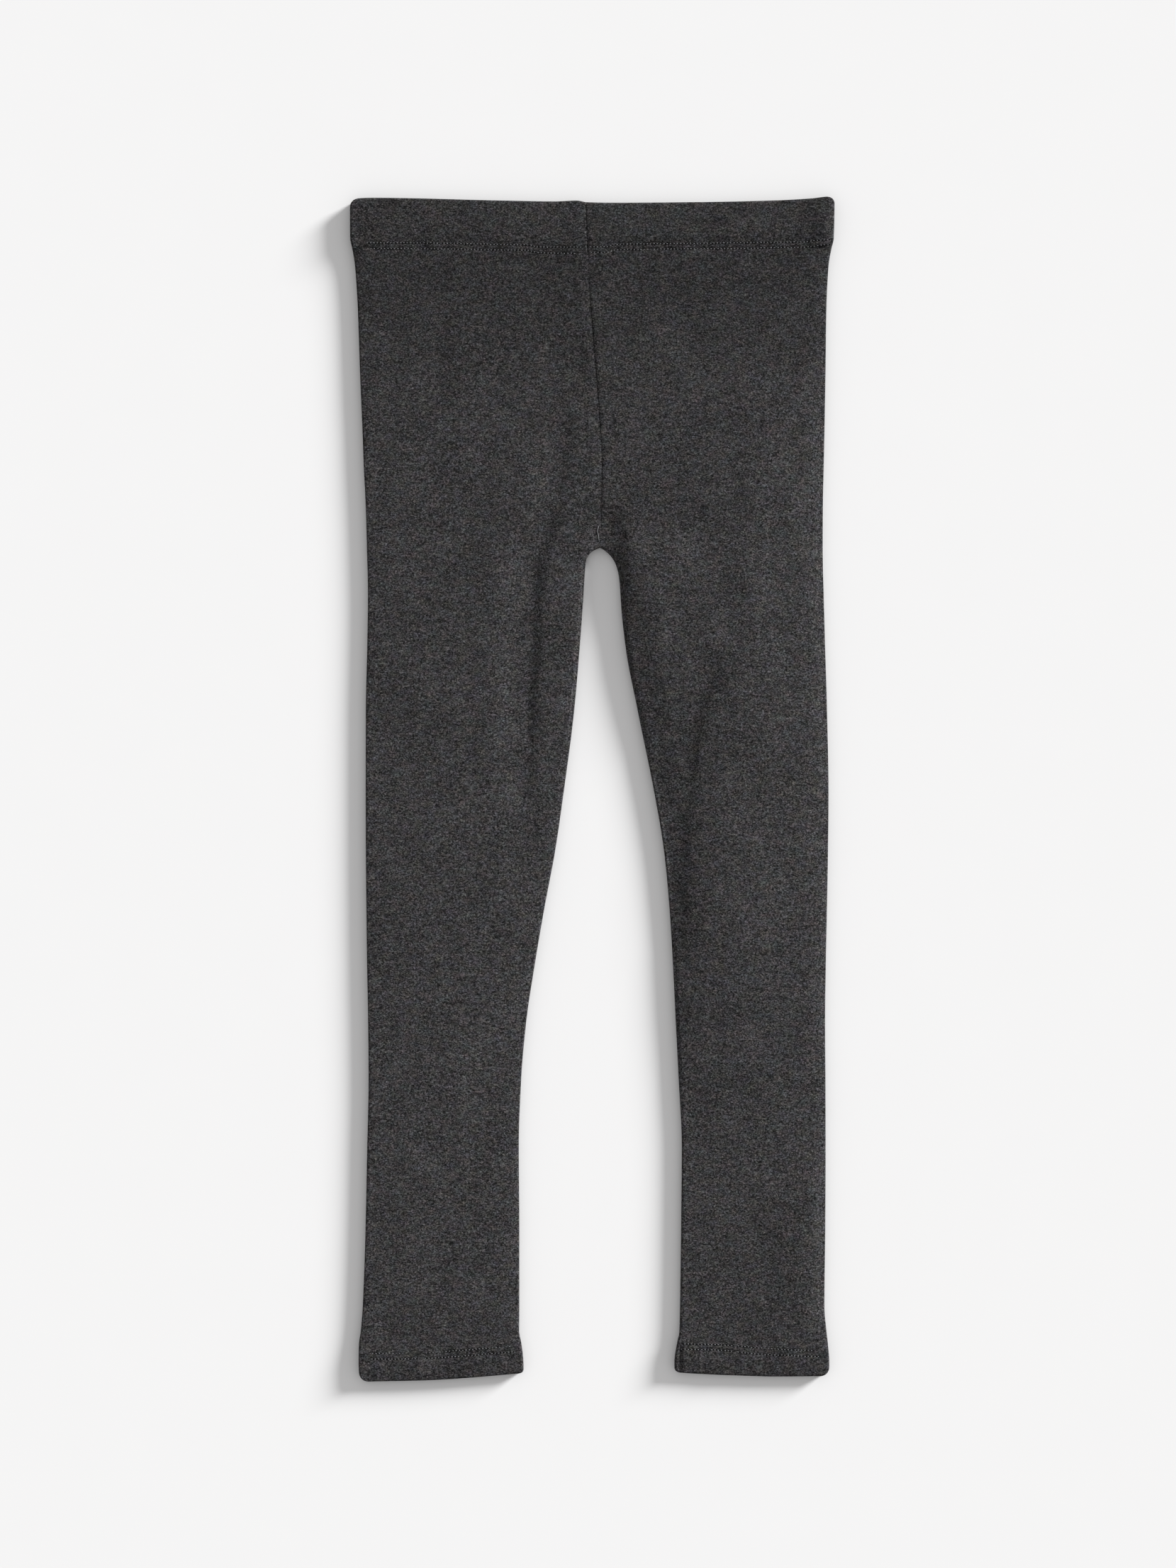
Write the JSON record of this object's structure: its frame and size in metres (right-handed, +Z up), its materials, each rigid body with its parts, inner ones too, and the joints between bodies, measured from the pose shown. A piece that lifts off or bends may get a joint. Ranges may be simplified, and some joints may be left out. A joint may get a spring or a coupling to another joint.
{
  "type": "leggings",
  "caption": "Child's plain jersey leggings laid flat, with an elastic waist casing, a centre seam and stitched hems.",
  "frame": {"origin": "on the surface the garment lies on, under the middle of its box", "axes": "+Y from the hems to the waist, +X across the garment to the right as seen from above, +Z up from the surface"},
  "size_m": [0.2818, 0.6889, 0.0073],
  "materials": {
    "jersey": "charcoal marl cotton jersey, matt, with a faint nap",
    "thread": "mid grey polyester sewing thread, slightly glossy"
  },
  "bodies": {
    "root": {"waistband": "jersey", "leg_left": "jersey", "leg_right": "jersey", "hem_left": "jersey", "hem_right": "jersey"}
  },
  "joints": []
}
